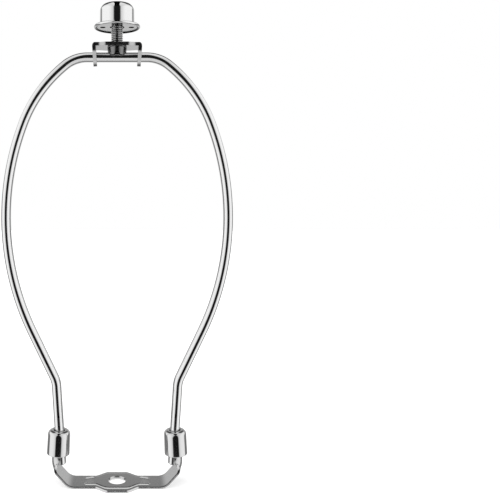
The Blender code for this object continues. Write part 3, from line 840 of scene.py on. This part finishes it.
# The base plate is a blanked disc, dished inside its rim, that the brim is crimped round. It has two small
# holes for the key that turns it and a large one for the stud. It is plated and only lightly polished.
BASE_SHEET = 0.64 * MM
BASE_RADIUS = 10.95 * MM
BASE_RIM = 0.6 * MM
BASE_RECESS = 0.5 * MM
BASE_EDGE_ROUND = 0.05 * MM
RIM_GAP = 0.05 * MM
BASE_BORE_RADIUS = 3.7 * MM
KEY_HOLE_RADIUS = 1.4 * MM
KEY_HOLE_REACH = 7.4 * MM
RIM_SHADE = 0.12 * MM
HOLE_SHADE_START = 0.02 * MM
HOLE_SHADE_END = 0.1 * MM
HOLE_SHADE_LEVEL = 0.03

bpy.ops.object.select_all(action="DESELECT")
bpy.ops.mesh.primitive_cylinder_add(
    vertices=CAP_SIDES,
    radius=BASE_RADIUS,
    depth=BASE_SHEET,
    location=(0.0, 0.0, cap_low.z + RIM_GAP + BASE_SHEET / 2),
)
base_plate = start_piece("base_plate")
pick("FACE", lambda corner: near(corner.z, cap_low.z + RIM_GAP))
bpy.ops.mesh.inset(thickness=BASE_RIM)
bpy.ops.transform.translate(value=(0.0, 0.0, BASE_RECESS))
bpy.ops.object.mode_set(mode="OBJECT")
cut_round(base_plate, BASE_BORE_RADIUS, 6 * BASE_SHEET, (0.0, 0.0, cap_low.z))
for x in (-KEY_HOLE_REACH, KEY_HOLE_REACH):
    cut_round(base_plate, KEY_HOLE_RADIUS, 6 * BASE_SHEET, (x, 0.0, cap_low.z))
round_edges(BASE_EDGE_ROUND, 2)

# The plate has the tumbled pebble of the saddle. Its rim lies in the shade of the crimp and its holes open
# into the dark cap, so both turn nearly black.
plate_nickel = plated_metal(
    "Nickel on blanked disc",
    "#cecece",
    pattern=(2600.0, 2600.0, 2600.0),
    detail=3.0,
    roughness=(0.14, 0.22),
    bump=0.002 * MM,
)
tree = plate_nickel.node_tree
in_plan = place_in_plan(tree)
from_axis = distance_to(tree, in_plan)
dish_radius = BASE_RADIUS - BASE_RIM
at_rim = map_range(tree, from_axis, dish_radius - RIM_SHADE, dish_radius)
tone = tone_between(tree, at_rim, "#d6d6d6", "#1e1e1e")
mirrored = add_node(tree, "ShaderNodeVectorMath", {0: in_plan}, operation="ABSOLUTE")
from_key_hole = distance_to(tree, mirrored.outputs["Vector"], (KEY_HOLE_REACH, 0.0, 0.0))
for distance, radius in ((from_key_hole, KEY_HOLE_RADIUS), (from_axis, BASE_BORE_RADIUS)):
    start, end = radius + HOLE_SHADE_START, radius + HOLE_SHADE_END
    shade = map_range(tree, distance, start, end, HOLE_SHADE_LEVEL)
    tone = multiply_colours(tree, tone, shade)
feed(plate_nickel, "Base Color", tone)
dress(base_plate, plate_nickel, "finial", "satin_nickel", "finial_base")

# The bush is turned from bar and left plain, so it is dark, with rings from the tool. It sits in the cap and
# keeps its shape from the frame, because only its foot can be seen, up through the base plate.
turned_steel = plated_metal(
    "Turned steel bush",
    "#4c4c4a",
    pattern=(300.0, 300.0, 5000.0),
    detail=3.0,
    roughness=(0.3, 0.42),
    bump=0.004 * MM,
)
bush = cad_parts["finial_bush"]
bush.data.materials.clear()
bush.data.materials.append(turned_steel)

# The floor is white paper just under the saddle. Reflections don't see it, because in the photo the harp hangs
# free, and a glow for the camera alone keeps it as white as the background.
FLOOR_SIZE = 4.0
FLOOR_GAP = 0.05 * MM

bpy.ops.object.select_all(action="DESELECT")
bpy.ops.mesh.primitive_plane_add(size=FLOOR_SIZE, location=(0.0, 0.0, saddle_low.z - FLOOR_GAP))
floor = bpy.context.object
floor.name = "studio_floor"
floor.visible_glossy = False
paper = bpy.data.materials.new("White floor paper")
paper.use_nodes = True
tree = paper.node_tree
tree.nodes.clear()
rays = add_node(tree, "ShaderNodeLightPath")
matt = add_node(tree, "ShaderNodeBsdfDiffuse", values={"Color": srgb("#e6e6e6")})
glow = add_node(
    tree,
    "ShaderNodeEmission",
    {"Strength": rays.outputs["Is Camera Ray"]},
    {"Color": srgb("#b9b9b9")},
)
both = add_node(tree, "ShaderNodeAddShader", {0: matt.outputs["BSDF"], 1: glow.outputs["Emission"]})
add_node(tree, "ShaderNodeOutputMaterial", {"Surface": both.outputs["Shader"]})
floor.data.materials.append(paper)

# Small flags of black felt hang over the finial and the sleeves, where only reflections see them. They carry
# the dark room's stripe on over the rounded shoulders. Each end is a place in Y and a half width.
FINIAL_FLAG_HEIGHT = 12.0 * MM
FINIAL_FLAG_ENDS = [(2.0 * MM, 4.4 * MM), (-14.0 * MM, 4.4 * MM), (-38.0 * MM, 11.9 * MM)]
SLEEVE_FLAG_HEIGHT = 6.0 * MM
SLEEVE_FLAG_ENDS = [(-4.0 * MM, 1.0 * MM), (-10.5 * MM, 4.0 * MM)]
SLEEVE_STRIPE_OFFSET = 0.75 * MM

felt = bpy.data.materials.new("Black felt")
felt.use_nodes = True
tree = felt.node_tree
tree.nodes.clear()
black = add_node(tree, "ShaderNodeBsdfDiffuse", values={"Color": srgb("#060606")})
add_node(tree, "ShaderNodeOutputMaterial", {"Surface": black.outputs["BSDF"]})


def hang_flag(name, x, z, rear, front):
    """A level flag between its rear and front ends."""
    bpy.ops.object.select_all(action="DESELECT")
    middle = (x, (rear[0] + front[0]) / 2, z)
    bpy.ops.mesh.primitive_plane_add(size=2.0, location=middle)
    bpy.context.object.scale = (rear[1], (rear[0] - front[0]) / 2, 1.0)
    flag = start_piece(name)
    pick("EDGE", lambda corner: near(corner.y, front[0]))
    resize(front[1] / rear[1], 1.0, 1.0, middle)
    bpy.ops.object.mode_set(mode="OBJECT")
    flag.visible_camera = False
    flag.visible_diffuse = False
    flag.visible_shadow = False
    flag.data.materials.append(felt)


flag_z = cap_high.z + FINIAL_FLAG_HEIGHT
hang_flag("flag_over_finial", 0.0, flag_z, *FINIAL_FLAG_ENDS[:2])
hang_flag("flag_before_finial", 0.0, flag_z, *FINIAL_FLAG_ENDS[1:])
for name, side in (("sleeve_left", -1), ("sleeve_right", 1)):
    low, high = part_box(name)
    stripe_x = (low.x + high.x) / 2 - side * SLEEVE_STRIPE_OFFSET
    flag_z = high.z + SLEEVE_FLAG_HEIGHT
    hang_flag("flag_over_" + name, stripe_x, flag_z, *SLEEVE_FLAG_ENDS)

# One large soft lamp hangs overhead, a little to the front and left. It only shapes the dull parts and the
# faint shadow on the floor.
LAMP_STRENGTH = 1.0
LAMP_ANGLE = math.radians(50.0)
LAMP_PLACE = (-0.1, -0.2, 0.6)
LAMP_TILT = (math.radians(18.0), math.radians(-14.0), 0.0)

bpy.ops.object.light_add(type="SUN", location=LAMP_PLACE, rotation=LAMP_TILT)
lamp = bpy.context.object
lamp.name = "overhead_lamp"
lamp.data.energy = LAMP_STRENGTH
lamp.data.angle = LAMP_ANGLE
lamp.visible_glossy = False

# Polished metal shows nothing but the studio: white screens at the sides, a strip of grey cloth past them, a
# grey wall behind, and the dark room round the camera. Each is a level, and each pair of numbers says where
# along east, north or up, from -1 to 1, it takes over.
INNER_SCREENS = 0.85
OUTER_SCREENS = 1.2
OUTER_SCREENS_ASIDE = (0.4, 0.85)
CEILING = 1.0
CEILING_UP = (0.75, 0.9)
EDGE_CLOTH = 0.22
EDGE_CLOTH_NORTH = (0.08, 0.24)
EDGE_CLOTH_LEAN = 1.3
BACK_WALL = 0.66
BACK_WALL_NORTH = (0.6, 0.82)
UPPER_BACK = 0.08
UPPER_BACK_UP = (0.2, 0.62)
UPPER_BACK_NORTH = (0.12, 0.3)
UPPER_BACK_ASIDE = (0.7, 0.45)
DARK_ROOM = 0.012
DARK_ROOM_FOOT = (-0.44, -0.4)
DARK_ROOM_TOP = (0.9, 0.78)
DARK_ROOM_ASIDE = (0.5, 0.34)
DARK_ROOM_TAPER = 0.14
UPPER_TAPER = 0.5
UPPER_TAPER_START = 0.35

world = bpy.data.worlds.new("Studio screens")
bpy.context.scene.world = world
world.use_nodes = True
tree = world.node_tree
tree.nodes.clear()


def step_between(value, limits):
    """From 0 to 1 as a value goes from the first limit to the second one, with soft ends."""
    backwards = limits[0] > limits[1]
    ends = (1.0, 0.0) if backwards else (0.0, 1.0)
    return map_range(tree, value, min(limits), max(limits), *ends, kind="SMOOTHSTEP")


def calculate(operation, first, second):
    """A sum, product or the like of outputs and numbers."""
    made = add_node(tree, "ShaderNodeMath", operation=operation)
    for socket, source in zip(made.inputs, (first, second)):
        if isinstance(source, (int, float)):
            socket.default_value = source
        else:
            tree.links.new(source, socket)
    return made.outputs["Value"]


def multiply(*factors):
    product = factors[0]
    for factor in factors[1:]:
        product = calculate("MULTIPLY", product, factor)
    return product


def blend_to(level, target, mask):
    """A level that turns into a target where a mask is 1."""
    return calculate("ADD", level, multiply(calculate("SUBTRACT", target, level), mask))


direction = add_node(tree, "ShaderNodeTexCoord")
axes = add_node(tree, "ShaderNodeSeparateXYZ", {"Vector": direction.outputs["Generated"]})
east, north, up = (axes.outputs[name] for name in "XYZ")
aside = calculate("ABSOLUTE", east, 0.0)
level = blend_to(INNER_SCREENS, OUTER_SCREENS, step_between(aside, OUTER_SCREENS_ASIDE))
level = blend_to(level, CEILING, step_between(up, CEILING_UP))

leaned = multiply(calculate("MAXIMUM", up, 0.0), EDGE_CLOTH_LEAN)
past_screens = calculate("SUBTRACT", north, leaned)
level = blend_to(level, EDGE_CLOTH, step_between(past_screens, EDGE_CLOTH_NORTH))
level = blend_to(level, BACK_WALL, step_between(north, BACK_WALL_NORTH))
high_behind = multiply(
    step_between(up, UPPER_BACK_UP),
    step_between(north, UPPER_BACK_NORTH),
    step_between(aside, UPPER_BACK_ASIDE),
)
level = blend_to(level, UPPER_BACK, high_behind)

above_start = calculate("MAXIMUM", calculate("SUBTRACT", up, UPPER_TAPER_START), 0.0)
taper = calculate("ADD", multiply(up, DARK_ROOM_TAPER), multiply(above_start, UPPER_TAPER))
room = multiply(
    step_between(up, DARK_ROOM_FOOT),
    step_between(up, DARK_ROOM_TOP),
    step_between(calculate("ADD", aside, taper), DARK_ROOM_ASIDE),
    calculate("LESS_THAN", north, 0.0),
)
level = blend_to(level, DARK_ROOM, room)

rays = add_node(tree, "ShaderNodeLightPath")
strength = blend_to(level, 1.0, rays.outputs["Is Camera Ray"])
surround = add_node(
    tree,
    "ShaderNodeBackground",
    {"Strength": strength},
    {"Color": srgb("#ffffff")},
)
add_node(tree, "ShaderNodeOutputWorld", {"Surface": surround.outputs["Background"]})

bpy.context.scene.view_settings.view_transform = "Standard"
